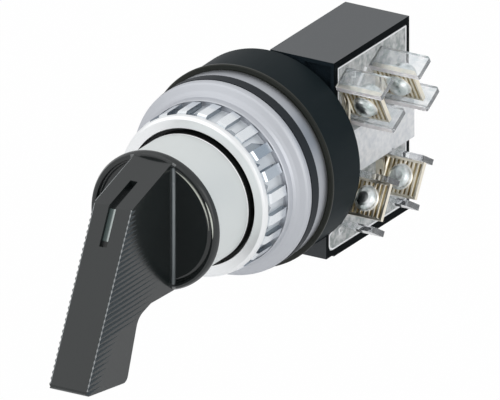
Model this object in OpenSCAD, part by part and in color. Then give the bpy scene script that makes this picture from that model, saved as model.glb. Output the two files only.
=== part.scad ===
// Lever selector switch for a 30 mm panel hole, with one two-way contact block.
// The switch axis lies along Y: the lever is in front (-Y), the contact block is behind (+Y), and +Z is up.
// The origin is on the switch axis, in the plane of the panel's front face. Sizes are in millimetres.

/* [Lever] */
// Width of the lever across its side faces
lever_w = 8.7; // [7:0.1:9.5]
// Distance from the panel to the lever's bend
bend_y = 45.45; // [43.5:0.05:48.5]
// Height of the lever's bend above the axis
bend_z = 8.7; // [7:0.1:10]
// Distance from the panel to the front corner of the lever's tip
tip_y = 63.15; // [59.5:0.05:67.5]
// Depth of the lever's tip below the axis
tip_z = 24.9; // [20:0.1:27]
// Number of grip ridges on each side of the lever
ridge_count = 32; // [24:1:40]
// Height of a grip ridge at its front end
ridge_h = 0.27; // [0.2:0.01:0.4]
// Width of the pointer groove
groove_w = 1.7; // [1:0.1:2.2]
// Depth of the pointer groove
groove_d = 0.9; // [0.6:0.1:1.4]

/* [Operator] */
// Radius of the disc that carries the lever
disc_r = 14.5; // [14:0.1:15]
// Length of the chrome collar behind the disc
collar_l = 17.9; // [17:0.1:19]
// Radius of the shaft
shaft_r = 4; // [3.5:0.1:4.5]
// Side of the square end of the shaft
square_s = 5; // [4.6:0.1:5.2]

/* [Bezel] */
// Width of the front flange outside the neck
flange_w = 5.3; // [4.6:0.1:6]
// Thickness of the ring nut over its ribs
nut_w = 2.2; // [2:0.1:2.4]
// Length of the ring nut
nut_l = 8.2; // [7.4:0.1:9]
// Number of ribs on the ring nut
nut_ribs = 23; // [20:1:26]
// Thickness of the panel gasket
gasket_t = 2.45; // [1.9:0.05:2.9]

/* [Body] */
// Radius of the threaded neck
neck_r = 14.9; // [14.6:0.1:15.2]
// Thickness of the metal ring behind the panel
spacer_t = 3.85; // [3.2:0.05:4.4]
// Width of the body outside the neck
body_w = 5.4; // [5.1:0.1:6.1]
// Length of the body
body_l = 11.6; // [11.4:0.1:12.4]

/* [Contact block] */
// Left side of the block
block_x0 = -0.4; // [-0.8:0.1:0]
// Right side of the block
block_x1 = 14.25; // [13.85:0.05:14.85]
// Length of the block from front to back
block_l = 29.1; // [28.5:0.1:30]
// Thickness of the block's walls
wall = 1.5; // [1.3:0.1:1.7]
// Distance of the plunger from the switch axis
plunger_x = 6.8; // [6.6:0.1:7]
// Travel of the plunger over a quarter turn of the lever
plunger_travel = 2.5; // [2.2:0.1:2.6]

/* [Terminals] */
// Distance between the front and the rear terminals
terminal_pitch = 13.1; // [13:0.1:13.2]
// Lean of the terminals
terminal_lean = 30; // [28:1:31]
// Width of a terminal plate
terminal_w = 7.6; // [7:0.1:7.8]
// Length of the terminal plates outside the block
terminal_l = 9.45; // [8.8:0.05:9.95]
// Length of the guards beside the terminal plates
guard_l = 11.25; // [10.75:0.05:11.75]
// Radius of a terminal screw's head
screw_head_r = 2.5; // [2.3:0.1:2.7]

/* [Hidden] */
// Clearance between pieces that are screwed or pushed together
fit = 0.05;
// Radial clearance of pieces that turn or slide in each other
running = 0.05;
// Segments of a full circle
round_n = 96;

// Radii from the axis outwards: the collar turns in the neck, and the nut and flange sit on it
collar_r = neck_r - 1.4;
seal_r = collar_r + 0.8;
nut_hole_r = collar_r + 0.75;
nut_r = neck_r + nut_w;
nut_band_r = nut_r - 1;
flange_r = neck_r + flange_w;
spigot_r = neck_r - 2.4;
body_r = neck_r + body_w;
web_hole_r = shaft_r + 2;
hub_r = shaft_r + 4;
block_h = body_r + 0.2;
cavity_r = body_r - 2.7;
plate_r = cavity_r + 0.8;

// Places along the switch axis, measured backwards from the panel
flange_back = -gasket_t;
nut_back = flange_back - 4.3;
nut_front = nut_back - nut_l;
neck_front = nut_front + 1.4;
web_front = neck_front + 3.2;
collar_back = web_front - 0.3;
disc_back = collar_back - collar_l;
disc_face = disc_back - 0.9;
disc_front = disc_face - 0.5;
body_front = spacer_t + 0.6;
body_back = body_front + body_l;
neck_back = body_front + 0.6;
cavity_front = body_front + 1.6;
wheel_front = cavity_front + 0.1;
wheel_back = wheel_front + 1.9;
square_back = wheel_back + 1.5;
back_plate_front = body_back - 1.4;
block_back = body_back + block_l;

// Wheel, cam and the stops of the lug
nut_rib_w = 2.1;
cam_r = plunger_x + 2.5;
wheel_r = cam_r - 0.3;
lug_r = wheel_r + 3.3;
lug_turn = 135;
stop_step = 13;
handle_screw_z = shaft_r + 2.6;
root_r = 0.5;

// The cam is a drum cut by a leaning plane. Over a quarter turn the plane passes a point at the
// plunger's radius between -45 and +45 degrees of its slope, where its rise is nearly even.
cam_mid = wheel_back + 2.7;
cam_rise = plunger_travel / (2 * sin(45));
cam_lean = atan(cam_rise / plunger_x);
plunger_r = 2.3;
plunger_gap = 0.12;
plunger_tip = cam_mid - cam_rise * sin(45) + (plunger_r + plunger_gap) / cos(cam_lean);

// Contacts: the closed pair lies in front, the open pair behind
tab_t = 0.8;
rear_tab = block_back - 12.7;
front_tab = rear_tab - terminal_pitch;
tab_in = 5.2;
tab_out = 12;
contact_t = 0.6;
contact_r = 1.5;
contact_z = 6.6;
contact_gap = 0.1;
bridge_t = 0.6;
bridge_w = 3;
closed_bridge = front_tab + tab_t + contact_t + fit;
open_bridge = rear_tab - contact_t - contact_gap - plunger_travel - contact_t - bridge_t;
bar_front = front_tab - 1;
bar_back = rear_tab + 2.2;
bar_mid = (closed_bridge + open_bridge) / 2;

// Centres of the rear terminals in the side view
upper_c = [block_back - 12.5, block_h - 9.2];
lower_c = [block_back - 12.1, 12.1 - block_h];
terminal_x = block_x1 + terminal_l;
guard_x = block_x1 + guard_l;
screw_x = block_x1 + 5.15;
plate_t = 1;
guard_t = 1.2;
guard_in = terminal_w / 2 + 0.1;
washer_t = 0.8;
screw_r = 1.45;

// Screws of the block and of the body's back plate, as [x, z]
block_screw_at = [[3.5, block_h - 4.9], [3.5, 4.9 - block_h]];
body_screw_at = [for (side = [-1, 1]) (body_r - 4.4) * [-cos(46), side * sin(46)]];

// Outlines and turned shapes

function unit(v) = v / norm(v);

// Points of an arc of radius r that rounds the corner b between a and c
function corner(a, b, c, r, n) = r <= 0 ? [b] :
    let (u = unit(a - b), w = unit(c - b), half = acos(u * w) / 2, turn = 180 - 2 * half)
    let (centre = b + unit(u + w) * r / sin(half))
    let (p = b + u * r / tan(half) - centre, q = b + w * r / tan(half) - centre)
    [for (i = [0:n]) centre + (p * sin((1 - i / n) * turn) + q * sin(i / n * turn)) / sin(turn)];

// Closed outline with every corner rounded by its own radius
function rounded(pts, radii, n = 6) = [for (i = [0:len(pts) - 1])
    each corner(pts[(i + len(pts) - 1) % len(pts)], pts[i], pts[(i + 1) % len(pts)], radii[i], n)];

// Solid turned about the switch axis from [radius, y] points
module turned(points)
    rotate([-90, 0, 0]) rotate_extrude($fn = round_n) polygon(points);

// Round bar along the switch axis
module rod(r, y0, y1, x = 0, z = 0)
    translate([x, y0, z]) rotate([-90, 0, 0]) cylinder(r = r, h = y1 - y0, $fn = round_n);

module tube(outer, inner, y0, y1, x = 0, z = 0)
    difference() {
        rod(outer, y0, y1, x, z);
        rod(inner, y0 - 1, y1 + 1, x, z);
    }

// Box between two corners
module slab(low, high)
    translate(low) cube(high - low);

// A (y, z) outline drawn out along X
module side_shape(x0, x1)
    translate([x0, 0, 0]) rotate([90, 0, 90]) linear_extrude(x1 - x0) children();

// An (x, z) outline drawn out along Y
module face_shape(y0, y1)
    translate([0, y1, 0]) rotate([90, 0, 0]) linear_extrude(y1 - y0) children();

// Coil spring along Y: a round wire of radius wire_r swept along a helix, with closed ends
module coil(coil_r, wire_r, y0, y1, turns, steps = 18, sides = 6) {
    n = turns * steps;
    span = y1 - y0 - 2 * wire_r;
    ring = [for (i = [0:n]) let (a = 360 * i / steps, y = y0 + wire_r + span * i / n)
        for (j = [0:sides - 1]) let (b = 360 * j / sides, r = coil_r + wire_r * cos(b))
            [r * cos(a), y + wire_r * sin(b), r * sin(a)]];
    sides_faces = [for (i = [0:n - 1]) for (j = [0:sides - 1])
        let (a = i * sides + j, b = i * sides + (j + 1) % sides) [a, b, b + sides, a + sides]];
    polyhedron(ring, concat(sides_faces, [[for (j = [sides - 1:-1:0]) j]],
        [[for (j = [0:sides - 1]) n * sides + j]]), convexity = 6);
}

// Lever: a plate with a bend, rounded tip and ridged sides, on a rimmed disc
lever_side = rounded(
    [[disc_face + 0.3, 13.5], [-30.95, 13], [-bend_y, bend_z], [-tip_y, -tip_z], [-tip_y + 15.8, -tip_z - 2.2],
        [-42.95, -14.9], [-38.05, -13.6], [disc_face + 0.3, -13.9]],
    [0, 0, 0.8, 0.8, 1.6, 3.6, 3, 0]);
front_edge = [-tip_y + bend_y, -tip_z - bend_z];

module lever_plate()
    side_shape(-lever_w / 2, lever_w / 2) polygon(lever_side);

// Hollow curves where the plate's sides meet the disc
module root_fillets()
    for (side = [-1, 1])
        translate([side * lever_w / 2, disc_face, -12.6])
            linear_extrude(25.2)
                difference() {
                    polygon([[-side * 0.1, 0.5], [-side * 0.1, -root_r], [side * root_r, -root_r], [side * root_r, 0.5]]);
                    translate([side * root_r, -root_r]) circle(r = root_r - 0.01, $fn = 48);
                }

// Place along Y at which a ridge ends, by its height
ridge_ends = [[-28, -59.5], [-22.6, -56.3], [-15.9, -50], [-14.6, -40.3], [-9.8, -33.9], [1, -42.9], [9, -43.9]];

// Ridges run straight back along Y. Their crests lie in the side faces. The valleys between them lean outwards,
// so that each is deepest at the front edge and runs out at its back end.
module ridge_valleys() {
    pitch = -front_edge[1] / ridge_count;
    for (i = [0:ridge_count - 1]) {
        z = bend_z - (i + 0.5) * pitch;
        back = lookup(z, ridge_ends);
        run = back + bend_y - front_edge[0] * (i + 0.5) / ridge_count;
        for (side = [-1, 1])
            translate([side * lever_w / 2, back, z]) rotate([0, 0, -side * asin(ridge_h / run)])
                face_shape(-run - 2, 0)
                    polygon([[0, 0], [side * ridge_h, -pitch * 0.42], [side * (ridge_h + 1), -pitch * 0.42],
                        [side * (ridge_h + 1), pitch * 0.42], [side * ridge_h, pitch * 0.42]]);
    }
}

// The groove runs along the top facet, turns at the bend and goes down the front face
groove_bend = [-bend_y + groove_d * 0.62, bend_z - groove_d * 0.9];
groove_end = [-bend_y, bend_z] + unit(front_edge) * 8.3;
groove_in = [-unit(front_edge)[1], unit(front_edge)[0]] * groove_d;
inlay_end = groove_end - unit(front_edge) * 0.2;

module pointer_groove()
    side_shape(-groove_w / 2, groove_w / 2)
        polygon([[-37.15, 14.4], [-37.15, 10.65 - groove_d], groove_bend, groove_end + groove_in,
            groove_end - groove_in * 2, [-bend_y - 4, bend_z + 4]]);

module lever_handle()
    color("#2b2d2e")
        difference() {
            union() {
                turned([[0, disc_back], [disc_r, disc_back], [disc_r, disc_face + 0.3],
                    [disc_r - 0.35, disc_front + 0.15], [disc_r - 0.8, disc_front], [disc_r - 1.2, disc_front + 0.1],
                    [disc_r - 1.4, disc_face + 0.35], [disc_r - 1.65, disc_face + 0.35], [disc_r - 2.15, disc_face + 0.08],
                    [disc_r - 2.4, disc_face], [0, disc_face]]);
                lever_plate();
                root_fillets();
            }
            ridge_valleys();
            pointer_groove();
            for (z = [-handle_screw_z, handle_screw_z])
                rod(screw_r + fit, disc_back - 6.4, disc_back + 1, 0, z);
        }

module pointer_inlay()
    color("#a9b5b2")
        intersection() {
            pointer_groove();
            side_shape(-groove_w / 2, groove_w / 2)
                polygon([groove_bend, inlay_end + groove_in, inlay_end + groove_in * 0.88,
                    groove_bend - groove_in * 0.12]);
        }

// Chrome sleeve: a cup whose front wall is clamped behind the lever's disc
module chrome_collar()
    color("#d2d6d5")
        difference() {
            turned([[shaft_r + 0.5, disc_back], [collar_r - 0.2, disc_back], [collar_r, disc_back + 0.2],
                [collar_r, collar_back - 0.4], [collar_r - 0.3, collar_back], [collar_r - 1, collar_back],
                [collar_r - 1, disc_back + 1], [shaft_r + 0.5, disc_back + 1]]);
            for (z = [-handle_screw_z, handle_screw_z])
                rod(screw_r + fit, disc_back - 1, disc_back + 2, 0, z);
        }

// Shaft: a flange at the front, a round journal and a square end for the wheel and the cam
module operator_shaft()
    color("#a8abae")
        difference() {
            union() {
                rod(handle_screw_z + 2.6, disc_back + 1, disc_back + 3);
                rod(shaft_r, disc_back + 0.2, wheel_front);
                slab([-square_s / 2, wheel_front - 1, -square_s / 2], [square_s / 2, square_back, square_s / 2]);
            }
            rod(screw_r + fit, square_back - 6, square_back + 1);
            for (z = [-handle_screw_z, handle_screw_z])
                rod(screw_r + fit, disc_back, disc_back + 4, 0, z);
        }

// Pan-head screw along Y with its head at the back and its point in front
module screw(head_r, head_t, shank_r, head_y, shank_l, x = 0, z = 0)
    difference() {
        union() {
            translate([x, head_y, z]) rotate([-90, 0, 0]) rotate_extrude($fn = 48)
                polygon([[0, 0], [head_r, 0], [head_r, head_t * 0.6], [head_r * 0.8, head_t], [0, head_t]]);
            rod(shank_r, head_y - shank_l, head_y + 0.1, x, z);
        }
        for (turn = [0, 90])
            translate([x, head_y + head_t, z]) rotate([0, turn, 0])
                cube([head_r * 1.3, head_t, head_r * 0.28], center = true);
    }

module handle_screws()
    color("#c3c5c6")
        for (z = [-handle_screw_z, handle_screw_z])
            screw(2.3, 1.5, screw_r, disc_back + 3, 9, 0, z);

// Detent wheel: four notches for the leaf springs and a lug that meets the stops
module detent_wheel()
    color("#d9d4c4")
        difference() {
            union() {
                rod(wheel_r, wheel_front, wheel_back);
                rotate([0, lug_turn, 0]) slab([0, wheel_front, -1], [lug_r, wheel_back, 1]);
            }
            slab([-square_s / 2, 0, -square_s / 2], [square_s / 2, 20, square_s / 2]);
            for (turn = [0:90:270])
                rotate([0, turn, 0]) face_shape(wheel_front - 1, wheel_back + 1)
                    polygon([[wheel_r + 0.6, -1.4], [wheel_r - 0.9, 0], [wheel_r + 0.6, 1.4]]);
        }

module cam()
    color("#e3ddca")
        difference() {
            rod(cam_r, wheel_back, wheel_back + 8);
            translate([0, cam_mid, 0]) rotate([0, 45, 0]) rotate([0, 0, -cam_lean])
                translate([-30, 0, -30]) cube([60, 20, 60]);
            slab([-square_s / 2, 0, -square_s / 2], [square_s / 2, 20, square_s / 2]);
            rod(3.5, square_back, square_back + 10);
        }

module cam_screw()
    color("#c3c5c6")
        screw(2.5, 1.6, screw_r, square_back + 0.5, 5.5);

module cam_washer()
    color("#b9bcbe")
        tube(3.4, screw_r + fit, square_back, square_back + 0.5);

// Rib of the ring nut, with a sloping front end
module nut_rib()
    translate([0, 0, -nut_rib_w / 2])
        linear_extrude(nut_rib_w)
            polygon([[nut_band_r - 0.5, nut_front + 1.9], [nut_r - 0.3, nut_front + 1.9],
                [nut_r, nut_front + 2.4], [nut_r, nut_back - 0.35], [nut_band_r - 0.5, nut_back - 0.35]]);

// Ring nut: a bright lip, a plain band and ribs for the fingers or a spanner
module ring_nut()
    color("#d7dbde") {
        turned([[nut_hole_r + 0.15, nut_front], [nut_r - 0.9, nut_front], [nut_r - 0.4, nut_front + 0.35],
            [nut_r - 0.2, nut_front + 1], [nut_r - 0.3, nut_front + 1.4], [nut_band_r + 0.1, nut_front + 1.7],
            [nut_band_r, nut_back],
            [neck_r + fit, nut_back], [neck_r + fit, neck_front], [nut_hole_r, neck_front],
            [nut_hole_r, nut_front + 0.15]]);
        for (i = [0:nut_ribs - 1])
            rotate([0, (i + 0.5) * 360 / nut_ribs, 0]) nut_rib();
    }

module front_flange()
    color("#c6c8cd")
        turned([[neck_r + fit, nut_back], [nut_band_r + 0.1, nut_back], [nut_band_r + 0.1, nut_back + 0.4],
            [nut_r - 0.05, nut_back + 0.4], [nut_r + 0.1, nut_back], [nut_r + 0.25, nut_back + 0.25],
            [nut_r + 0.4, nut_back + 0.8], [nut_r + 0.5, nut_back + 1.3], [nut_r + 0.9, nut_back + 1.8],
            [flange_r - 1.6, nut_back + 2.2], [flange_r - 0.5, nut_back + 2.7], [flange_r - 0.15, nut_back + 3],
            [flange_r, nut_back + 3.4], [flange_r, flange_back - 0.2], [flange_r - 0.2, flange_back],
            [neck_r + fit, flange_back]]);

module panel_gasket()
    color("#3a3d42")
        tube(flange_r + 0.1, neck_r + fit, flange_back, 0);

module spacer_ring()
    color("#aeb1b7")
        turned([[neck_r + fit, 0], [body_r - 0.4, 0], [body_r - 0.2, 0.2], [body_r - 0.2, spacer_t - 0.2],
            [body_r - 0.4, spacer_t], [neck_r + fit, spacer_t]]);

module seal_ring()
    color("#23261f")
        turned([[neck_r + fit, spacer_t], [body_r + 0.7, spacer_t], [body_r + 0.9, spacer_t + 0.15],
            [body_r + 0.9, body_front - 0.1], [body_r + 0.8, body_front], [neck_r + fit, body_front]]);

// Neck: threaded outside, with a web in front and a long hub that holds the bush
module threaded_neck()
    color("#b4b6b8")
        difference() {
            rod(neck_r, neck_front, neck_back);
            rod(seal_r, neck_front - 1, neck_front + 1.4);
            rod(collar_r + 0.3, neck_front - 1, web_front);
            rod(web_hole_r, neck_front - 1, neck_back + 1);
            tube(spigot_r + fit, hub_r, web_front + 2.5, neck_back + 1);
        }

module neck_seal()
    color("#1d1f20")
        tube(seal_r - fit, collar_r + running, neck_front, neck_front + 1.4);

module shaft_bush()
    color("#b99d63")
        difference() {
            union() {
                rod(web_hole_r + 1.2, web_front - 0.2, web_front);
                rod(web_hole_r - fit, web_front - 0.2, cavity_front);
            }
            rod(shaft_r + running, web_front - 1, cavity_front + 1);
        }

// Body: a cup with a spigot inside the neck, posts for the screws, seats for the leaf springs and two stops for the lug
module body_housing()
    color("#2b3133")
        difference() {
            union() {
                difference() {
                    turned([[0, body_front], [body_r, body_front], [body_r + 0.2, body_front + 0.35],
                        [body_r + 0.3, body_front + 1], [body_r + 0.4, body_back - 0.85], [body_r + 0.2, body_back - 0.65],
                        [body_r - 0.9, body_back - 0.65], [body_r - 0.9, body_back], [0, body_back]]);
                    rod(cavity_r, cavity_front, body_back + 1);
                    rod(plate_r, back_plate_front, body_back + 1);
                }
                rod(spigot_r, body_front - 4.3, body_front + 1);
                for (at = concat(block_screw_at, body_screw_at))
                    intersection() {
                        rod(2.6, body_front + 1, back_plate_front, at[0], at[1]);
                        rod(plate_r, 0, body_back);
                    }
                for (x = [-1, 1])
                    for (z = [-1, 1])
                        translate([x * (wheel_r + 2.5) - 1, cavity_front - 0.1, z * 7.8 - 0.8]) cube([2, 2, 1.6]);
                for (turn = [lug_turn + stop_step, lug_turn - 90 - stop_step])
                    rotate([0, turn, 0])
                        slab([wheel_r + 0.6, cavity_front - 0.1, -1], [lug_r, wheel_back - 0.2, 1]);
            }
            tube(neck_r + fit, spigot_r, -1, neck_back);
            rod(spigot_r - 1.7, -1, body_front + 0.4);
            rod(hub_r + fit, -1, body_back);
            for (at = block_screw_at)
                rod(1.5 + fit, body_back - 7.9, body_back, at[0], at[1]);
            for (at = body_screw_at)
                rod(1.1 + fit, body_back - 7.9, body_back, at[0], at[1]);
        }

// Closing plate: a groove parts the seat of the block from the free seat beside it
module body_back_plate()
    color("#2f3537")
        difference() {
            rod(plate_r - fit, back_plate_front, body_back);
            rod(plunger_r + 0.3, 0, body_back + 1, plunger_x);
            slab([block_x0 - 1, body_back - 0.5, -plate_r], [block_x0 - 0.4, body_back + 1, plate_r]);
            for (at = block_screw_at)
                rod(1.5 + fit, 0, body_back + 1, at[0], at[1]);
            for (at = body_screw_at) {
                rod(1.1 + fit, 0, body_back + 1, at[0], at[1]);
                rod(2.3, body_back - 0.8, body_back + 1, at[0], at[1]);
            }
        }

module body_screws()
    color("#b9bcbe")
        for (at = body_screw_at)
            screw(2.2, 0.8, 1.1, body_back - 0.8, 6.4, at[0], at[1]);

// Leaf springs: flat strips whose bump rests in a notch of the wheel
module detent_springs()
    color("#b7babd")
        for (turn = [0, 180])
            rotate([0, turn, 0]) face_shape(wheel_front + 0.2, wheel_back - 0.3)
                polygon([for (p = [[2, -7], [2, -3], [-0.5, -0.25], [-0.5, 0.25], [2, 3], [2, 7], [2.4, 7], [2.4, 2.8],
                    [0.05, 0.2], [0.05, -0.2], [2.4, -2.8], [2.4, -7]]) [wheel_r + p[0], p[1]]]);

// Side view of the clear cover, which laps over the rear wall and the lower front corner of the case
cover_side = rounded([[body_back + wall, block_h - wall], [block_back - 1, block_h - wall],
    [block_back - 1, wall - block_h], [body_back - 2, wall - block_h], [body_back - 2, 7 - block_h],
    [body_back + wall, 7 - block_h]], [0, 0, 0, 1.4, 0, 0]);

// Case of the contact block: a box that is open on its right side
module block_case()
    color("#2a2c2e")
        difference() {
            union() {
                difference() {
                    slab([block_x0, body_back, -block_h], [block_x1, block_back, block_h]);
                    slab([block_x0 + wall, body_back + wall, -block_h + wall],
                        [block_x1 + 1, block_back - wall, block_h - wall]);
                    slab([plunger_x + 0.6, body_back - 1, block_h - 8], [block_x1 - 0.8, body_back + 0.9, block_h - 0.9]);
                }
                for (at = block_screw_at)
                    rod(3.2, body_back + 0.5, block_back - 0.5, at[0], at[1]);
                difference() {
                    slab([4, body_back - 3, 0.4 - block_h], [block_x1, body_back + 0.5, 8.5 - block_h]);
                    rod(body_r + 0.45, 0, body_back);
                }
            }
            side_shape(block_x1 - 1.6, block_x1 + 1) polygon(cover_side);
            rod(plunger_r + 0.3, 0, body_back + 3, plunger_x);
            for (at = block_screw_at) {
                rod(1.5 + fit, 0, block_back + 1, at[0], at[1]);
                rod(2.7, block_back - 2.5, block_back + 1, at[0], at[1]);
            }
        }

module block_screws()
    color("#c3c5c6")
        for (at = block_screw_at)
            screw(2.5, 2, 1.5, block_back - 2.5, 33, at[0], at[1]);

// Places the children at a terminal: X runs outwards, Y points to the terminal's back, Z along its plate
module at_terminal(upper, rear) {
    centre = (upper ? upper_c : lower_c) - [rear ? 0 : terminal_pitch, 0];
    translate([0, centre[0], centre[1]]) rotate([upper ? terminal_lean : -terminal_lean, 0, 0]) children();
}

module each_terminal()
    for (upper = [true, false])
        for (rear = [true, false])
            at_terminal(upper, rear) children();

// Guards beside a terminal plate. The lower one of each pair stands further forward, and those of the lower
// terminals are shorter.
module guards(upper, rear)
    for (side = [-1, 1])
        let (end = guard_x - (upper ? (side < 0 ? 0.5 : rear ? 0 : 0.8) : (side > 0 ? 2.2 : 2.4)),
            drop = upper || side > 0 ? 0 : rear ? 0.4 : 1.4)
            translate([0, 0, side * (guard_in + guard_t / 2) - guard_t / 2 - drop])
                linear_extrude(guard_t)
                    polygon(rounded([[block_x1 - 0.5, side > 0 ? -0.6 : -1.4], [end, side > 0 ? -0.6 : -1.4],
                        [end, side > 0 ? 4.6 : 4.2], [block_x1 - 0.5, side > 0 ? 4.6 : 4.2]], [0, 0.4, 0.4, 0], 3));

// Clear cover: a plate in the open side of the case, with a raised middle and the guards
module block_cover()
    color([0.85, 0.85, 0.86, 0.45])
        difference() {
            union() {
                side_shape(block_x1 - 1.6, block_x1 - 0.1) polygon(cover_side);
                slab([block_x1 - 0.5, body_back + wall, -4.2], [block_x1 + 2.05, block_back - wall, 5.2]);
                for (upper = [true, false])
                    for (rear = [true, false])
                        at_terminal(upper, rear) guards(upper, rear);
            }
            difference() {
                slab([block_x1 - 2, body_back - 5, -block_h - 1], [block_x1 + fit, block_back + 5, block_h + 1]);
                side_shape(0, block_x1 + 1) polygon(cover_side);
            }
            rod(body_r + 0.45, 0, body_back);
            for (y = [front_tab, rear_tab])
                for (z = [tab_in, -tab_out])
                    slab([0, y - fit, z - fit], [block_x1 + 3, y + tab_t + fit, z + tab_out - tab_in + fit]);
        }

// Terminal: a ridged plate outside the block and a tab inside it that carries a fixed contact
module terminal(upper, rear) {
    tab_y = rear ? rear_tab : front_tab;
    tab_z = upper ? tab_in : -tab_out;
    difference() {
        union() {
            slab([plunger_x - 2.3, tab_y, tab_z], [block_x1 + 1.4, tab_y + tab_t, tab_z + tab_out - tab_in]);
            at_terminal(upper, rear)
                slab([block_x1, 0, -terminal_w / 2], [terminal_x, plate_t, terminal_w / 2]);
        }
        at_terminal(upper, rear) {
            rod(screw_r + fit, -5, 5, screw_x);
            difference() {
                for (i = [0:8])
                    slab([block_x1 + 0.7 + i * 0.98, -1, -3.3], [block_x1 + 1.15 + i * 0.98, 0.25, 3.3]);
                rod(2.7, -2, 2, screw_x);
            }
        }
    }
}

module terminal_upper_front()
    color("#b29a68") terminal(true, false);

module terminal_upper_rear()
    color("#b29a68") terminal(true, true);

module terminal_lower_front()
    color("#b29a68") terminal(false, false);

module terminal_lower_rear()
    color("#b29a68") terminal(false, true);

module terminal_screws()
    color("#c9cccd")
        each_terminal() screw(screw_head_r, 2, screw_r, plate_t + washer_t, plate_t + washer_t + 1.2, screw_x);

module clamp_washers()
    color("#bfc2c3")
        each_terminal()
            difference() {
                slab([screw_x - 3.2, plate_t, -3.1], [screw_x + 3.2, plate_t + washer_t, 3.1]);
                rod(screw_r + fit, 0, 3, screw_x);
            }

// Domed nuts on the front of the terminal plates
module terminal_nuts()
    color("#c9cccd")
        each_terminal()
            translate([screw_x, 0, 0]) rotate([90, 0, 0])
                difference() {
                    rotate_extrude($fn = 48)
                        polygon([[0, 0], [2.4, 0], [2.4, 0.35], [2.3, 0.7], [2.05, 1.1], [1.65, 1.45], [1.15, 1.68],
                            [0.6, 1.8], [0, 1.84]]);
                    translate([0, 0, -1]) cylinder(r = screw_r + fit, h = 2.3, $fn = 48);
                }

module fixed_contacts()
    color("#cfd0cd")
        for (z = [-contact_z, contact_z]) {
            rod(contact_r, front_tab + tab_t, front_tab + tab_t + contact_t, plunger_x, z);
            rod(contact_r, rear_tab - contact_t, rear_tab, plunger_x, z);
        }

module return_spring()
    color("#b7babd")
        translate([plunger_x, 0, 0]) coil(2.2, 0.3, bar_back, block_back - wall, 6);

// Plunger: a domed pin that follows the cam, and a bar with two windows for the contact bridges
module plunger()
    color("#e8e6de")
        translate([plunger_x, 0, 0])
            difference() {
                union() {
                    translate([0, plunger_tip, 0]) sphere(r = plunger_r, $fn = 48);
                    rod(plunger_r, plunger_tip, bar_front + 0.5);
                    slab([-2.8, bar_front, -3], [2.8, bar_back, 3]);
                    rod(1.4, bar_back - 0.5, bar_back + 2.6);
                }
                slab([-1.6, closed_bridge + contact_t - 0.2, -4], [1.6, bar_mid - 0.4, 4]);
                slab([-1.6, bar_mid + 0.4, -4], [1.6, open_bridge + bridge_t, 4]);
            }

module bridge(y)
    slab([plunger_x - bridge_w / 2, y, -8.3], [plunger_x + bridge_w / 2, y + bridge_t, 8.3]);

module bridge_closed()
    color("#b98a5a") bridge(closed_bridge + contact_t);

module bridge_open()
    color("#b98a5a") bridge(open_bridge);

module bridge_contacts()
    color("#cfd0cd")
        for (z = [-contact_z, contact_z]) {
            rod(contact_r, closed_bridge, closed_bridge + contact_t, plunger_x, z);
            rod(contact_r, open_bridge + bridge_t, open_bridge + bridge_t + contact_t, plunger_x, z);
        }

module contact_springs()
    color("#b7babd")
        translate([plunger_x, 0, 0]) {
            coil(1.15, 0.2, closed_bridge + contact_t + bridge_t, bar_mid - 0.4, 4, 14);
            coil(1.15, 0.2, bar_mid + 0.4, open_bridge, 4, 14);
        }

lever_handle();
pointer_inlay();
chrome_collar();
operator_shaft();
handle_screws();
detent_wheel();
cam();
cam_screw();
cam_washer();
ring_nut();
front_flange();
panel_gasket();
spacer_ring();
seal_ring();
threaded_neck();
neck_seal();
shaft_bush();
body_housing();
body_back_plate();
body_screws();
detent_springs();
block_case();
block_cover();
block_screws();
terminal_upper_front();
terminal_upper_rear();
terminal_lower_front();
terminal_lower_rear();
terminal_screws();
clamp_washers();
terminal_nuts();
fixed_contacts();
return_spring();
plunger();
bridge_closed();
bridge_open();
bridge_contacts();
contact_springs();
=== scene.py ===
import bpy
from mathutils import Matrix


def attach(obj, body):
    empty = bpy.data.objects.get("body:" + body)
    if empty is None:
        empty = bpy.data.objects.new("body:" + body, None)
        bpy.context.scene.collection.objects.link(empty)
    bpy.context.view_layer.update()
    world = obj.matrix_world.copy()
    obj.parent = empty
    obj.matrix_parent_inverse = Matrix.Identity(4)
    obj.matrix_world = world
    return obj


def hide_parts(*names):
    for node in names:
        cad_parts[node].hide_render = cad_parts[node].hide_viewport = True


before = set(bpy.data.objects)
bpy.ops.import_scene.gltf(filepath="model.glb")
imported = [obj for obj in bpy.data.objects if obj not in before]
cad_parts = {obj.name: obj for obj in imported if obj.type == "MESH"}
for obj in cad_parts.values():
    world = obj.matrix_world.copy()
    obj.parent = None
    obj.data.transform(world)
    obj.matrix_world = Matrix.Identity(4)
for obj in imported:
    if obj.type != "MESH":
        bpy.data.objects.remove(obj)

"""Looks of the lever selector switch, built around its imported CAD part. Lengths are in metres."""

import logging
import math
from dataclasses import dataclass
from enum import Enum

import bmesh
import bpy
import numpy as np

MM = 0.001
LOG = logging.getLogger("switch")
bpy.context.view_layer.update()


class Body(Enum):
    """Bodies of the frame that a piece can ride on."""

    FIXED = "body"
    OPERATOR = "operator"
    PLUNGER = "contact_plunger"


def linear(code: str) -> tuple[float, float, float, float]:
    """Turns a screen colour into the linear one that a shader takes.

    Args:
        code: six hexadecimal digits, red, green and blue.

    Returns:
        Linear red, green, blue and an alpha of one.
    """
    parts = [int(code[i:i + 2], 16) / 255 for i in (0, 2, 4)]
    lin = [c / 12.92 if c <= 0.04045 else ((c + 0.055) / 1.055) ** 2.4 for c in parts]
    return (*lin, 1.0)


# Finishes


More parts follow.
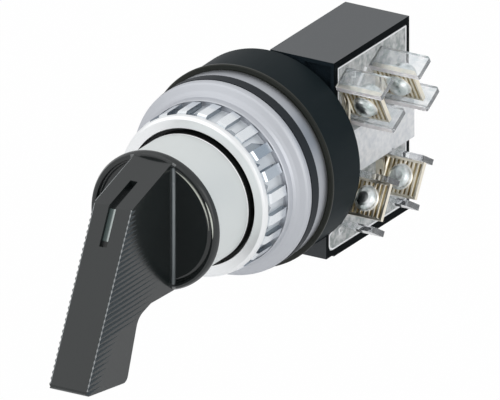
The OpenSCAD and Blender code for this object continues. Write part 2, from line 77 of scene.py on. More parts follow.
@dataclass(frozen=True)
class Finish:
    """A finish: a colour with slow drift and fine grain, on the piece's own coordinates.

    The colour is mixed from two tones by a slow noise. The roughness swings about its middle with the same slow
    noise, and a fine noise gives the bump.
    """

    name: str
    tone: str
    deep: str
    rough: float
    rough_swing: float = 0.04
    metal: float = 0.0
    drift: float = 90.0
    grain: float = 4000.0
    bump: float = 0.02
    specular: float = 0.5
    ior: float = 1.5
    coat: float = 0.0
    coat_rough: float = 0.1
    contrast: float = 1.0

    def material(self) -> bpy.types.Material:
        """Returns the finish's material, made once."""
        made = bpy.data.materials.get(self.name)
        return made if made else self._make()

    def _make(self) -> bpy.types.Material:
        """Builds the node tree and returns the material."""
        mat = bpy.data.materials.new(self.name)
        mat.use_nodes = True
        tree = mat.node_tree
        shader = tree.nodes["Principled BSDF"]
        place = tree.nodes.new("ShaderNodeTexCoord")
        slow = self._noise(tree, place, self.drift, 3.0)
        fine = self._noise(tree, place, self.grain, 2.0)
        mix = tree.nodes.new("ShaderNodeMix")
        mix.data_type = "RGBA"
        mix.inputs["A"].default_value = linear(self.deep)
        mix.inputs["B"].default_value = linear(self.tone)
        spread = tree.nodes.new("ShaderNodeMapRange")
        spread.inputs["From Min"].default_value = 0.5 - 0.5 / self.contrast
        spread.inputs["From Max"].default_value = 0.5 + 0.5 / self.contrast
        tree.links.new(slow.outputs["Fac"], spread.inputs["Value"])
        tree.links.new(spread.outputs["Result"], mix.inputs["Factor"])
        tree.links.new(mix.outputs["Result"], shader.inputs["Base Color"])
        swing = tree.nodes.new("ShaderNodeMapRange")
        swing.inputs["To Min"].default_value = max(0.0, self.rough - self.rough_swing)
        swing.inputs["To Max"].default_value = self.rough + self.rough_swing
        tree.links.new(slow.outputs["Fac"], swing.inputs["Value"])
        tree.links.new(swing.outputs["Result"], shader.inputs["Roughness"])
        bump = tree.nodes.new("ShaderNodeBump")
        bump.inputs["Strength"].default_value = self.bump
        bump.inputs["Distance"].default_value = 0.05 * MM
        tree.links.new(fine.outputs["Fac"], bump.inputs["Height"])
        tree.links.new(bump.outputs["Normal"], shader.inputs["Normal"])
        shader.inputs["Metallic"].default_value = self.metal
        shader.inputs["Specular IOR Level"].default_value = self.specular
        shader.inputs["IOR"].default_value = self.ior
        shader.inputs["Coat Weight"].default_value = self.coat
        shader.inputs["Coat Roughness"].default_value = self.coat_rough
        self._extra(tree, shader, place)
        return mat

    @staticmethod
    def _noise(tree: bpy.types.NodeTree, place: bpy.types.Node, scale: float, detail: float) -> bpy.types.Node:
        """Adds a noise texture on object coordinates and returns its node."""
        node = tree.nodes.new("ShaderNodeTexNoise")
        node.inputs["Scale"].default_value = scale
        node.inputs["Detail"].default_value = detail
        tree.links.new(place.outputs["Object"], node.inputs["Vector"])
        return node

    def _extra(self, tree: bpy.types.NodeTree, shader: bpy.types.Node, place: bpy.types.Node) -> None:
        """Lets a kind of finish add its own nodes."""


@dataclass(frozen=True)
class Clear(Finish):
    """A clear moulded plastic with a trace of milk in it."""

    clear: float = 1.0

    def _extra(self, tree: bpy.types.NodeTree, shader: bpy.types.Node, place: bpy.types.Node) -> None:
        """Sets the light that passes through."""
        shader.inputs["Transmission Weight"].default_value = self.clear


@dataclass(frozen=True)
class Inlaid(Finish):
    """The pointer's inlay paint, with painted shade on its left, where the groove's wall would shade it, and a
    painted shade at the groove's foot.

    The painted shade on the left fades in over a narrow band about split_x. Below foot_z the colour is a dark
    painted shade.
    """

    # Painted shade of the inlay's left side, beside the groove's wall.
    shade: str = "4a5856"
    split_x: float = 0.1 * MM
    band: float = 0.15 * MM
    # Painted shade of the groove's foot, below foot_z.
    foot_shade: str = "0e1111"
    foot_z: float = 2.15 * MM

    def _extra(self, tree: bpy.types.NodeTree, shader: bpy.types.Node, place: bpy.types.Node) -> None:
        """Adds the painted shade on the left side and at the foot."""
        apart = tree.nodes.new("ShaderNodeSeparateXYZ")
        tree.links.new(place.outputs["Object"], apart.inputs["Vector"])
        fade = tree.nodes.new("ShaderNodeMapRange")
        fade.inputs["From Min"].default_value = self.split_x - self.band
        fade.inputs["From Max"].default_value = self.split_x + self.band
        tree.links.new(apart.outputs["X"], fade.inputs["Value"])
        plain = shader.inputs["Base Color"].links[0].from_node
        mix = tree.nodes.new("ShaderNodeMix")
        mix.data_type = "RGBA"
        mix.inputs["A"].default_value = linear(self.shade)
        tree.links.new(fade.outputs["Result"], mix.inputs["Factor"])
        tree.links.new(plain.outputs["Result"], mix.inputs["B"])
        below = tree.nodes.new("ShaderNodeMath")
        below.operation = "LESS_THAN"
        below.inputs[1].default_value = self.foot_z
        tree.links.new(apart.outputs["Z"], below.inputs[0])
        floor = tree.nodes.new("ShaderNodeMix")
        floor.data_type = "RGBA"
        floor.inputs["B"].default_value = linear(self.foot_shade)
        tree.links.new(below.outputs["Value"], floor.inputs["Factor"])
        tree.links.new(mix.outputs["Result"], floor.inputs["A"])
        tree.links.new(floor.outputs["Result"], shader.inputs["Base Color"])


@dataclass(frozen=True)
class Guard(Clear):
    """The guards' plastic, with a darker tone on the tips of the lower guards that is painted shade.

    The tips are where x is more than tip_x and z is below the axis.
    """

    # Painted shade of the lower guards' tips.
    tip: str = "c4c6ca"
    tip_x: float = 20.4 * MM

    def _extra(self, tree: bpy.types.NodeTree, shader: bpy.types.Node, place: bpy.types.Node) -> None:
        """Adds the painted shade of the tips."""
        super()._extra(tree, shader, place)
        apart = tree.nodes.new("ShaderNodeSeparateXYZ")
        tree.links.new(place.outputs["Object"], apart.inputs["Vector"])
        out, below, both = (tree.nodes.new("ShaderNodeMath") for _ in range(3))
        out.operation, below.operation, both.operation = "GREATER_THAN", "LESS_THAN", "MULTIPLY"
        out.inputs[1].default_value = self.tip_x
        below.inputs[1].default_value = 0.0
        tree.links.new(apart.outputs["X"], out.inputs[0])
        tree.links.new(apart.outputs["Z"], below.inputs[0])
        tree.links.new(out.outputs["Value"], both.inputs[0])
        tree.links.new(below.outputs["Value"], both.inputs[1])
        plain = shader.inputs["Base Color"].links[0].from_node
        mix = tree.nodes.new("ShaderNodeMix")
        mix.data_type = "RGBA"
        mix.inputs["B"].default_value = linear(self.tip)
        tree.links.new(both.outputs["Value"], mix.inputs["Factor"])
        tree.links.new(plain.outputs["Result"], mix.inputs["A"])
        tree.links.new(mix.outputs["Result"], shader.inputs["Base Color"])


@dataclass(frozen=True)
class Banded(Finish):
    """A sleeve along Y, with a painted highlight as a narrow band at each end, and a painted shade behind the rear
    one, where the gap to the nut is.

    The front band lies where y is less than front, the rear one where y is more than rear, and the painted shade
    where y is more than foot.
    """

    # Painted highlight of the two end bands.
    light: str = "ffffff"
    # Painted shade behind the rear band, at the gap to the nut.
    dark: str = "0c0e0e"
    front: float = 0.0
    rear: float = 0.0
    foot: float = 0.0

    def _extra(self, tree: bpy.types.NodeTree, shader: bpy.types.Node, place: bpy.types.Node) -> None:
        """Adds the painted highlight bands and the painted shade at the foot."""
        apart = tree.nodes.new("ShaderNodeSeparateXYZ")
        tree.links.new(place.outputs["Object"], apart.inputs["Vector"])
        colour = shader.inputs["Base Color"].links[0].from_node.outputs["Result"]
        rules = (("LESS_THAN", self.front, self.light), ("GREATER_THAN", self.rear, self.light),
                 ("GREATER_THAN", self.foot, self.dark))
        for rule, limit, tone in rules:
            test = tree.nodes.new("ShaderNodeMath")
            test.operation = rule
            test.inputs[1].default_value = limit
            tree.links.new(apart.outputs["Y"], test.inputs[0])
            mix = tree.nodes.new("ShaderNodeMix")
            mix.data_type = "RGBA"
            mix.inputs["B"].default_value = linear(tone)
            tree.links.new(test.outputs["Value"], mix.inputs["Factor"])
            tree.links.new(colour, mix.inputs["A"])
            colour = mix.outputs["Result"]
        tree.links.new(colour, shader.inputs["Base Color"])


@dataclass(frozen=True)
class Turned(Finish):
    """A turned metal, with faint rings about the switch axis.

    The ring pattern is a wave of the distance from the axis and of the place along it, added to the bump.
    """

    ring_pitch: float = 0.25 * MM
    ring_depth: float = 0.15

    def _extra(self, tree: bpy.types.NodeTree, shader: bpy.types.Node, place: bpy.types.Node) -> None:
        """Adds the rings to the bump's height."""
        wave = tree.nodes.new("ShaderNodeTexWave")
        wave.wave_type = "RINGS"
        wave.rings_direction = "Y"
        wave.inputs["Scale"].default_value = 1 / self.ring_pitch / 20
        wave.inputs["Distortion"].default_value = 1.5
        wave.inputs["Detail"].default_value = 2
        tree.links.new(place.outputs["Object"], wave.inputs["Vector"])
        second = tree.nodes.new("ShaderNodeBump")
        second.inputs["Strength"].default_value = self.ring_depth
        second.inputs["Distance"].default_value = 0.02 * MM
        first = shader.inputs["Normal"].links[0].from_node
        tree.links.new(wave.outputs["Fac"], second.inputs["Height"])
        tree.links.new(first.outputs["Normal"], second.inputs["Normal"])
        tree.links.new(second.outputs["Normal"], shader.inputs["Normal"])


GLOSS_BLACK = Finish("gloss_black_plastic", "1a1f1f", "171b1b", 0.17, 0.03, bump=0.03, ior=1.56)
# Broken edges and root curves: a higher gloss, and a lighter tone that is a painted highlight.
EDGE_GLOSS_AND_HIGHLIGHT = Finish("gloss_black_edge_and_highlight", "34393a", "2c3031", 0.14, 0.03, bump=0.02, ior=2.3)
# Ridge valleys: rougher, and a lighter tone that is a painted sheen.
VALLEY_BLACK = Finish("ridge_valley_plastic_painted_sheen", "3c4346", "363c3f", 0.45, 0.03, bump=0.03, specular=0.3, ior=1.5)
# A pale grey painted highlight for the beads along the lever's root curves.
ROOT_HIGHLIGHT = Finish("lever_root_painted_highlight", "7b8183", "6c7274", 0.25, 0.05, bump=0.02, ior=1.7)
RIM_GLINT = Finish("disc_rim_glint", "cacec3", "b6baaf", 0.22, 0.05, bump=0.02, ior=1.8)
# Painted highlight for the beads along the lever's edges.
EDGE_LIGHT = Finish("pale_edge_painted_highlight", "8d9192", "7a7e7f", 0.2, 0.05, bump=0.02, ior=1.8)
BODY_BLACK = Finish("body_black_plastic", "1b2326", "182023", 0.5, 0.05, bump=0.05, specular=0.08, ior=1.4)
CASE_BLACK = Finish("case_black_plastic", "1b242a", "182025", 0.2, 0.05, bump=0.06, ior=1.55)
# The case's outer edge: rougher, and a darker tone that is a painted shade.
CASE_EDGE = Finish("case_edge_painted_shade", "0e1214", "0b0f11", 0.6, 0.05, bump=0.06, specular=0.05, ior=1.3)
INLAY = Inlaid("pointer_inlay_paint", "cdd6d3", "c0cac7", 0.4, bump=0.1)
# The collar's end bands are painted highlights and its rear foot is painted shade.
COLLAR_CHROME = Banded("collar_chrome", "dde1e0", "d9dddc", 0.55, 0.02, 0.45, bump=0.0, front=-27.9 * MM,
                       rear=-16.15 * MM, foot=-15.75 * MM)
NUT_CHROME = Finish("nut_chrome", "f6f9fb", "e9eef2", 0.17, 0.03, 1.0, bump=0.01)
LIP_CHROME = Finish("nut_lip_chrome", "fcfdfd", "f6f8f9", 0.3, 0.03, 1.0, bump=0.01)
# Painted shade, in a bluish tone, on the ribs' sides.
RIB_SIDE = Finish("nut_rib_side_painted_shade", "b0b7bd", "9fa7ad", 0.2, 0.04, 1.0, bump=0.01)
# Rougher and less metallic than the ribs, so that the band stays light in the hollows: painted light.
BAND_CHROME = Finish("nut_band_chrome_painted_light", "e9edf0", "dce1e5", 0.34, 0.03, 0.55, bump=0.01)
SATIN_CHROME = Turned("flange_satin_chrome", "ccced3", "c5c8cd", 0.5, 0.03, 1.0, bump=0.02)
RING_METAL = Turned("ring_satin_metal", "c0c3c8", "b5b8be", 0.38, 0.04, 1.0, bump=0.04)
GASKET_RUBBER = Finish("gasket_rubber", "262b30", "22262a", 0.55, bump=0.15, specular=0.15)
SEAL_RUBBER = Finish("seal_rubber", "1f221b", "1a1d18", 0.34, bump=0.1, specular=0.3)
BLACK_RUBBER = Finish("neck_seal_rubber", "1d1f20", "181a1b", 0.5, bump=0.2)
DIE_CAST = Finish("neck_die_casting", "b6b8ba", "a6a8aa", 0.4, metal=1.0, bump=0.1)
BRONZE = Finish("bush_bronze", "b99d63", "a58a55", 0.4, metal=1.0, bump=0.2)
BRASS = Finish("terminal_brass", "fdf7ea", "f0e7d2", 0.34, 0.06, 1.0, drift=500.0, bump=0.05)
# Painted shade in the grooves of the terminal plates.
GROOVE_BRASS = Finish("terminal_groove_brass_painted_shade", "ac9d75", "837454", 0.45, 0.06, 1.0, drift=400.0, bump=0.05, contrast=2.0)
NICKEL = Finish("nickel_plate", "fdffff", "b4bfbd", 0.3, 0.08, 1.0, drift=620.0, contrast=3.0)
DOME_EDGE = Finish("dome_edge_plate", "fdfefe", "f2f5f6", 0.3, 0.05, 1.0, drift=500.0)
ZINC = Finish("zinc_plate", "c6c8c9", "b6b9bb", 0.25, 0.05, 1.0, drift=300.0)
SPRING_STEEL = Finish("spring_steel", "bdc0c3", "abafb2", 0.22, 0.05, 1.0, drift=300.0)
COPPER = Finish("bridge_copper", "c89a6c", "b58757", 0.26, 0.05, 1.0, drift=300.0)
SILVER = Finish("contact_silver", "d6d7d4", "c4c6c2", 0.25, 0.05, 1.0, drift=300.0)
IVORY = Finish("ivory_acetal", "e4e0d2", "dad5c5", 0.4, 0.05, bump=0.05)
CLEAR_COVER = Clear("clear_cover_plastic", "ffffff", "b9c1bf", 0.08, 0.05, drift=750.0, bump=0.02, ior=1.35,
                    contrast=3.5, clear=0.5)
MILKY_COVER = Clear("milky_cover_plastic", "ffffff", "e4e7eb", 0.16, 0.05, drift=900.0, bump=0.25, ior=1.45, clear=0.25,
                    contrast=2.5, grain=2200.0)
CLEAR_GUARD = Guard("clear_guard_plastic", "ffffff", "d9e0e4", 0.05, 0.03, drift=560.0, bump=0.12, ior=1.38, clear=0.88,
                    contrast=3.0, grain=1800.0)
# Painted highlight on the upper guards' front edges.
GUARD_EDGE = Clear("guard_edge_painted_highlight", "fdf8f8", "dcdadd", 0.12, 0.04, drift=800.0, bump=0.1, ior=1.42, clear=0.3,
                   contrast=2.5, grain=2200.0)
# White of the cover's rim and clips; on the guard and foot lines it is a painted highlight.
RIM_WHITE_AND_HIGHLIGHT = Finish("cover_rim", "f2f2f3", "e6e7e8", 0.15, 0.03, bump=0.02)

NODE_FINISH: dict[str, Finish] = {
    "lever_handle": GLOSS_BLACK,
    "pointer_inlay": INLAY,
    "chrome_collar": COLLAR_CHROME,
    "operator_shaft": ZINC,
    "handle_screws": ZINC,
    "detent_wheel": IVORY,
    "cam": IVORY,
    "cam_screw": ZINC,
    "cam_washer": ZINC,
    "ring_nut": NUT_CHROME,
    "front_flange": SATIN_CHROME,
    "panel_gasket": GASKET_RUBBER,
    "spacer_ring": RING_METAL,
    "seal_ring": SEAL_RUBBER,
    "threaded_neck": DIE_CAST,
    "neck_seal": BLACK_RUBBER,
    "shaft_bush": BRONZE,
    "body_housing": BODY_BLACK,
    "body_back_plate": BODY_BLACK,
    "body_screws": ZINC,
    "detent_springs": SPRING_STEEL,
    "block_case": CASE_BLACK,
    "block_cover": CLEAR_COVER,
    "block_screws": ZINC,
    "terminal_upper_front": BRASS,
    "terminal_upper_rear": BRASS,
    "terminal_lower_front": BRASS,
    "terminal_lower_rear": BRASS,
    "terminal_screws": NICKEL,
    "clamp_washers": NICKEL,
    "terminal_nuts": NICKEL,
    "fixed_contacts": SILVER,
    "return_spring": SPRING_STEEL,
    "plunger": IVORY,
    "bridge_closed": COPPER,
    "bridge_open": COPPER,
    "bridge_contacts": SILVER,
    "contact_springs": SPRING_STEEL,
}


def paint(obj: bpy.types.Object, finish: Finish) -> None:
    """Gives an object one finish.

    Args:
        obj: the mesh object to paint.
        finish: the finish for all its faces.
    """
    obj.data.materials.clear()
    obj.data.materials.append(finish.material())


# Pieces made from a node of the part


def leaning(upper: bool, rear: bool, x: float, y: float, z: float) -> tuple[float, float, float]:
    """Turns a place at a terminal into one of the switch.

    Args:
        upper: whether the terminal is one of the upper two.
        rear: whether it is one of the rear two.
        x: distance from the switch axis, in millimetres.
        y: distance behind the terminal plate's front.
        z: height above the plate's middle, along the plate.

    Returns:
        The place in millimetres.
    """
    lean = math.radians(30 if upper else -30)
    mid_y, mid_z = (32.65, 11.3) if upper else (33.05, -8.4)
    if not rear:
        mid_y -= 13.1
    return x, mid_y + y * math.cos(lean) - z * math.sin(lean), mid_z + y * math.sin(lean) + z * math.cos(lean)


def behind_plate(places: np.ndarray, upper: bool, rear: bool) -> tuple[np.ndarray, np.ndarray]:
    """Finds where places lie at a terminal, the other way round from leaning.

    Args:
        places: rows of x, y and z in metres.
        upper: whether the terminal is one of the upper two.
        rear: whether it is one of the rear two.

    Returns:
        Each place's distance behind the plate's front and its height along the plate, in metres.
    """
    lean = math.radians(30 if upper else -30)
    _, mid_y, mid_z = leaning(upper, rear, 0, 0, 0)
    back, high = places[:, 1] - mid_y * MM, places[:, 2] - mid_z * MM
    return back * math.cos(lean) + high * math.sin(lean), high * math.cos(lean) - back * math.sin(lean)


@dataclass
class SoftEdged:
    """A node's own shape with its sharp edges broken, as moulded and plated pieces have them.

    The node's loose triangles are merged and flat ones joined, and a bevel rounds each edge that turns by more
    than the limit. A radius of nothing leaves the edges as they are.
    """

    node: str
    body: Body
    radius: float
    steps: int = 2
    limit: float = 28.0
    edge_slot: int = -1

    def build(self) -> bpy.types.Object:
        """Builds the piece, which then stands for the node.

        Returns:
            The new object.
        """
        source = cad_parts[self.node]
        mesh = source.data.copy()
        shape = bmesh.new()
        shape.from_mesh(mesh)
        bmesh.ops.remove_doubles(shape, verts=shape.verts, dist=1e-6)
        turn = math.radians(self.limit)
        if self.radius:
            bmesh.ops.dissolve_limit(shape, angle_limit=math.radians(0.4), verts=shape.verts, edges=shape.edges)
            sharp = [edge for edge in shape.edges if edge.calc_face_angle(0.0) > turn]
            bmesh.ops.bevel(shape, geom=sharp, offset=self.radius, offset_type="OFFSET", segments=self.steps,
                            profile=0.5, affect="EDGES", clamp_overlap=True, loop_slide=True, miter_outer="ARC",
                            material=self.edge_slot)
        for face in shape.faces:
            face.smooth = True
        shape.to_mesh(mesh)
        shape.free()
        mesh.set_sharp_from_angle(angle=turn)
        mesh.name = self.node + "_edged"
        piece = bpy.data.objects.new(self.node + "_edged", mesh)
        bpy.context.scene.collection.objects.link(piece)
        even = piece.modifiers.new("even_normals", "WEIGHTED_NORMAL")
        even.mode = "FACE_AREA"
        even.weight = 100
        even.keep_sharp = True
        self.dress(piece)
        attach(piece, self.body.value)
        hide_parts(self.node)
        return piece

    def dress(self, piece: bpy.types.Object) -> None:
        """Gives the piece its finish.

        Args:
            piece: the new object.
        """
        paint(piece, NODE_FINISH[self.node])


@dataclass
class Zoned(SoftEdged):
    """A soft-edged piece whose zones have finishes of their own, by the middles of its faces."""

    finishes: tuple[Finish, ...] = ()

    def zones(self, middles: np.ndarray) -> np.ndarray:
        """Sorts the faces into zones.

        Args:
            middles: the faces' middles as rows of x, y and z.

        Returns:
            The number of its finish for each face.
        """
        raise NotImplementedError

    def dress(self, piece: bpy.types.Object) -> None:
        """Gives each zone its own finish.

        Args:
            piece: the new object.
        """
        mesh = piece.data
        middles = np.empty(len(mesh.polygons) * 3, dtype=np.float32)
        edges = np.empty(len(mesh.polygons), dtype=np.int32)
        mesh.polygons.foreach_get("center", middles)
        mesh.polygons.foreach_get("material_index", edges)
        mesh.materials.clear()
        for finish in self.finishes:
            mesh.materials.append(finish.material())
        zones = self.zones(middles.reshape(-1, 3))
        if self.edge_slot > 0:
            zones = np.where(edges == self.edge_slot, self.edge_slot, zones)
        mesh.polygons.foreach_set("material_index", zones.astype(np.int32))


@dataclass
class CoverPiece(Zoned):
    """The clear cover. Its plate is see-through, its raised middle is milky and its guards are thick and pale.

    A face belongs to the guards when its middle lies further out than the plate, and to the raised middle when
    it also lies within the middle's height and reach. The front edges of the upper guards, which have a paler
    finish as a painted highlight, are those whose middle lies at one of two places before a terminal plate.
    """

    plate_x: float = 14.3 * MM
    raised_x: float = 16.4 * MM
    raised_z: tuple[float, float] = (-4.3 * MM, 5.3 * MM)
    edges: tuple[float, float] = (0.6 * MM, 1.4 * MM)
    edge_band: float = 0.08 * MM

    def zones(self, middles: np.ndarray) -> np.ndarray:
        """Sorts the faces into plate, guards, raised middle and the guards' edges with a painted highlight."""
        outside = middles[:, 0] > self.plate_x
        within = (middles[:, 2] > self.raised_z[0]) & (middles[:, 2] < self.raised_z[1])
        raised = within & outside & (middles[:, 0] < self.raised_x)
        # The upper guards' front edges get a painted highlight.
        bright = np.zeros(len(middles), dtype=bool)
        for rear in (False, True):
            before = -behind_plate(middles, True, rear)[0]
            for edge in self.edges:
                bright |= abs(before - edge) < self.edge_band
        bright &= outside & (middles[:, 2] > self.raised_z[1])
        return np.where(raised, 2, np.where(bright, 3, np.where(outside, 1, 0)))


@dataclass
class NutPiece(Zoned):
    """The ring nut, with a soft bright lip, mirror-bright ribs, painted shade on the ribs' sides and a rougher, less
    metallic band that stays light in the hollows as painted light.

    A face is a rib's side when its middle lies between band and rib tops, and its distance from the middle
    plane of the nearest rib is nearly half the rib's width. It is the band's, between the ribs, when its middle
    lies behind the lip and just inside the ribs.
    """

    lip_back: float = -13.2 * MM
    ribs: int = 23
    rib_half: float = 1.05 * MM
    rib_r: tuple[float, float] = (16.15 * MM, 17.07 * MM)
    band_r: float = 15.7 * MM

    def zones(self, middles: np.ndarray) -> np.ndarray:
        """Sorts the faces into lip, ribs, sides of ribs and band."""
        out = np.hypot(middles[:, 0], middles[:, 2])
        step = 2 * np.pi / self.ribs
        turn = np.arctan2(-middles[:, 2], middles[:, 0]) / step - 0.5
        aside = out * np.sin(abs(turn - np.round(turn)) * step)
        side = (out > self.rib_r[0]) & (out < self.rib_r[1]) & (aside > 0.93 * self.rib_half)
        lip = middles[:, 1] < self.lip_back
        band = (out > self.band_r) & (out < self.rib_r[0])
        return np.where(lip, 0, np.where(side, 2, np.where(band, 3, 1)))


@dataclass
class LeverPiece(Zoned):
    """The lever: its broken edges and root curves have more gloss and a painted highlight, its ridge valleys a painted
    sheen.

    A face belongs to a root curve when its middle lies in front of the disc's face and beside the plate, and to
    the valleys between the ridges when it lies just inside the plate's sides.
    """

    disc_face: float = -29.45 * MM
    side_x: tuple[float, float] = (4.37 * MM, 4.84 * MM)
    valley_x: tuple[float, float] = (3.9 * MM, 4.34 * MM)

    def zones(self, middles: np.ndarray) -> np.ndarray:
        """Sorts the faces into flat ones, glossy ones with a painted highlight and valleys with a painted sheen."""
        beside = (abs(middles[:, 0]) > self.side_x[0]) & (abs(middles[:, 0]) < self.side_x[1])
        before = (middles[:, 1] < self.disc_face) & (middles[:, 1] > self.disc_face - 0.5 * MM)
        deep = (abs(middles[:, 0]) > self.valley_x[0]) & (abs(middles[:, 0]) < self.valley_x[1])
        valley = deep & (middles[:, 1] < self.disc_face - 1.5 * MM)
        return np.where(beside & before, 1, np.where(valley, 2, 0))


@dataclass
class PlatePiece(Zoned):
    """A terminal's plate, with painted shade in the grooves across its front.

    A face lies in a groove when its middle is a little behind the plate's front and within the grooves' length.
    """

    upper: bool = True
    rear: bool = False
    depths: tuple[float, float] = (0.03 * MM, 0.3 * MM)
    reach: float = 3.4 * MM
    foot_x: float = 14.3 * MM

    def zones(self, middles: np.ndarray) -> np.ndarray:
        """Sorts the faces into plain ones and grooves."""
        behind, above = behind_plate(middles, self.upper, self.rear)
        deep = (behind > self.depths[0]) & (behind < self.depths[1])
        groove = deep & (abs(above) < self.reach) & (middles[:, 0] > self.foot_x)
        return np.where(groove, 1, 0)


@dataclass
class CasePiece(Zoned):
    """The contact block's case, whose narrow outer edge round the cover is rougher than its sides and darker, a painted
    shade.
    """

    edge_x: float = 14.0 * MM

    def zones(self, middles: np.ndarray) -> np.ndarray:
        """Sorts the faces into sides and outer edge."""
        return np.where(middles[:, 0] > self.edge_x, 1, 0)


# Pieces drawn as surfaces


@dataclass
class PlaneWire:
    """A round or flattened bar that follows a line in a plane across X.

    The line is stepped evenly by its length. Round each of its points lies a ring: the ring's point at angle b is
    the line's point, plus r cos b along the line's side, plus r f sin b along X, with f the flattening.
    """

    name: str
    body: Body
    slot: str
    finish: Finish
    x: float
    line: tuple[tuple[float, float], ...]
    radius: float
    flat: float = 1.0
    closed: bool = False
    soft: int = 0
    steps: int = 240
    sides: int = 10

    def _stepped(self) -> np.ndarray:
        """Returns the line's points as rows of y and z, evenly stepped and softened."""
        corners = np.array(self.line, dtype=float)
        if self.closed:
            corners = np.vstack([corners, corners[:1]])
        gaps = np.hypot(*np.diff(corners, axis=0).T)
        along = np.concatenate([[0.0], np.cumsum(gaps)])
        at = np.linspace(0.0, along[-1], self.steps, endpoint=not self.closed)
        points = np.stack([np.interp(at, along, corners[:, k]) for k in (0, 1)], axis=1)
        for _ in range(self.soft):
            inner = (points[:-2] + points[1:-1] + points[2:]) / 3
            points = np.vstack([points[:1], inner, points[-1:]])
        return points

    def build(self) -> bpy.types.Object:
        """Builds the bar.

        Returns:
            The new object.
        """
        points = self._stepped()
        if self.closed:
            ahead = np.roll(points, -1, axis=0) - np.roll(points, 1, axis=0)
        else:
            ahead = np.gradient(points, axis=0)
        ahead /= np.hypot(ahead[:, 0], ahead[:, 1])[:, None]
        turn = np.linspace(0.0, 2 * np.pi, self.sides, endpoint=False)
        across = self.radius * np.cos(turn)
        verts = np.empty((len(points), self.sides, 3))
        verts[..., 0] = self.x + self.flat * self.radius * np.sin(turn)
        verts[..., 1] = points[:, None, 0] - ahead[:, None, 1] * across
        verts[..., 2] = points[:, None, 1] + ahead[:, None, 0] * across
        rows = len(points) if self.closed else len(points) - 1
        i, j = np.meshgrid(np.arange(rows), np.arange(self.sides), indexing="ij")
        i2, j2 = (i + 1) % len(points), (j + 1) % self.sides
        quads = np.stack([i * self.sides + j, i * self.sides + j2, i2 * self.sides + j2, i2 * self.sides + j], axis=-1)
        ends = [] if self.closed else [list(range(self.sides))[::-1],
                                       list(range(rows * self.sides, (rows + 1) * self.sides))]
        mesh = bpy.data.meshes.new(self.name)
        mesh.from_pydata((verts.reshape(-1, 3) * MM).tolist(), [], quads.reshape(-1, 4).tolist() + ends)
        mesh.shade_smooth()
        piece = bpy.data.objects.new(self.name, mesh)
        bpy.context.scene.collection.objects.link(piece)
        paint(piece, self.finish)
        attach(piece, self.body.value)
        return piece


@dataclass
class EdgeBead:
    """A fine pale bead along a straight edge, a painted highlight of the light that the edge catches.

    The bead's middle runs evenly from one end to the other. Its radius swings with the squared cosine of the
    place along it, from low to full at each crest, so that it breaks into a row of glints where the edge is
    ridged. With no crests it is plain.
    """

    name: str
    body: Body
    slot: str
    finish: Finish
    ends: tuple[tuple[float, float, float], tuple[float, float, float]]
    radius: float
    crests: int = 0
    low: float = 0.3
    sides: int = 8

    def build(self) -> bpy.types.Object:
        """Builds the bead.

        Returns:
            The new object.
        """
        start, end = (np.array(point) for point in self.ends)
        steps = max(2, self.crests * 8 + 1)
        t = np.linspace(0.0, 1.0, steps)
        swing = self.low + (1 - self.low) * np.cos(np.pi * self.crests * t) ** 2 if self.crests else np.ones(steps)
        along = (end - start) / np.linalg.norm(end - start)
        first = np.cross(along, (0.3, 1.0, 0.2))
        first /= np.linalg.norm(first)
        second = np.cross(along, first)
        turn = np.linspace(0.0, 2 * np.pi, self.sides, endpoint=False)
        ring = np.cos(turn)[:, None] * first + np.sin(turn)[:, None] * second
        centres = start + t[:, None] * (end - start)
        verts = centres[:, None, :] + self.radius * swing[:, None, None] * ring
        i, j = np.meshgrid(np.arange(steps - 1), np.arange(self.sides), indexing="ij")
        j2 = (j + 1) % self.sides
        quads = np.stack([i * self.sides + j, i * self.sides + j2, (i + 1) * self.sides + j2,
                          (i + 1) * self.sides + j], axis=-1)
        ends = [list(range(self.sides))[::-1], list(range((steps - 1) * self.sides, steps * self.sides))]
        mesh = bpy.data.meshes.new(self.name)
        mesh.from_pydata((verts.reshape(-1, 3) * MM).tolist(), [], quads.reshape(-1, 4).tolist() + ends)
        mesh.shade_smooth()
        piece = bpy.data.objects.new(self.name, mesh)
        bpy.context.scene.collection.objects.link(piece)
        paint(piece, self.finish)
        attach(piece, self.body.value)
        return piece


@dataclass
class DomeRing:
    """The flat collar round the foot of a terminal's domed nut.

    A slim oval is turned about the dome's axis: at turn a and oval angle b its distance from the axis is
    R + w cos b and its distance before the plate t sin b.
    """

    name: str
    upper: bool
    rear: bool
    finish: Finish
    ring: float = 2.42
    width: float = 0.18
    rise: float = 0.16
    steps: int = 96
    sides: int = 12

    def build(self) -> bpy.types.Object:
        """Builds the collar.

        Returns:
            The new object.
        """
        a, b = np.meshgrid(np.linspace(0, 2 * np.pi, self.steps, endpoint=False),
                           np.linspace(0, 2 * np.pi, self.sides, endpoint=False), indexing="ij")
        out = self.ring + self.width * np.cos(b)
        spots = leaning(self.upper, self.rear, 19.4 + out * np.cos(a), -self.rise * (1 + np.sin(b)), out * np.sin(a))
        verts = np.stack(spots, axis=-1).reshape(-1, 3)
        i, j = np.meshgrid(np.arange(self.steps), np.arange(self.sides), indexing="ij")
        i2, j2 = (i + 1) % self.steps, (j + 1) % self.sides
        quads = np.stack([i * self.sides + j, i * self.sides + j2, i2 * self.sides + j2, i2 * self.sides + j], axis=-1)
        mesh = bpy.data.meshes.new(self.name)
        mesh.from_pydata((verts * MM).tolist(), [], quads.reshape(-1, 4).tolist())
        mesh.shade_smooth()
        piece = bpy.data.objects.new(self.name, mesh)
        bpy.context.scene.collection.objects.link(piece)
        paint(piece, self.finish)
        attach(piece, Body.FIXED.value)
        return piece


